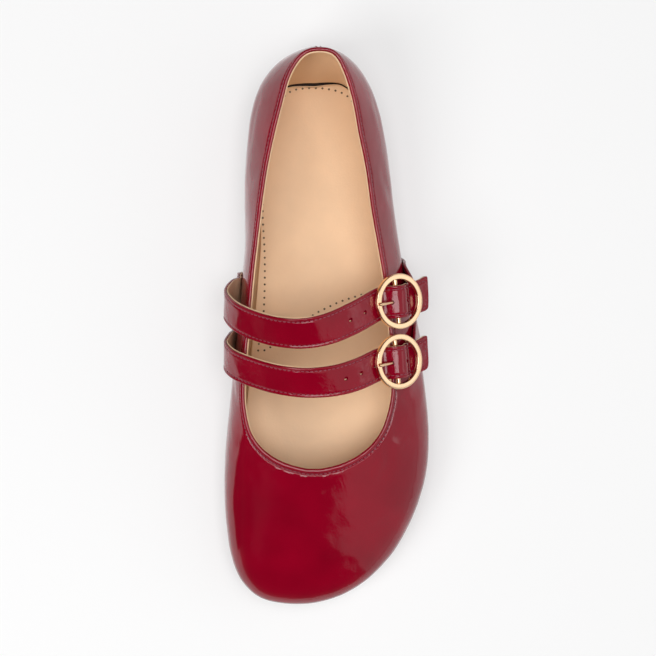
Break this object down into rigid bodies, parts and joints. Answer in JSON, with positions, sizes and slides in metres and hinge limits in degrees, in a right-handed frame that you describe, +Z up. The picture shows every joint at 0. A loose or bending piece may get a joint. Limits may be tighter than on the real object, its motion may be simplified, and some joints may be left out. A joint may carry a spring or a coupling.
{
  "type": "mary jane shoe",
  "caption": "Left mary jane shoe: round wide toe, low patent upper, instep straps with round ring buckles, flat thin sole.",
  "frame": {"origin": "middle of the shoe's footprint box, on the floor", "axes": "+Y runs from toe to heel along the shoe, +X to the outer side of the foot, where the buckles are, +Z up"},
  "size_m": [0.0938, 0.2498, 0.0628],
  "materials": {
    "red_patent": "glossy crinkled patent leather, deep red",
    "tan_leather": "smooth matt tan lining leather",
    "sole_rubber": "matt dark brown rubber",
    "pale_brass": "polished pale gold plate"
  },
  "bodies": {
    "root": {"outsole": "sole_rubber", "insole": "tan_leather", "upper": "red_patent", "rear_strap": "red_patent", "rear_buckle_tab": "red_patent", "rear_buckle": "pale_brass", "rear_prong": "pale_brass", "front_strap": "red_patent", "front_buckle_tab": "red_patent", "front_buckle": "pale_brass", "front_prong": "pale_brass"}
  },
  "joints": []
}
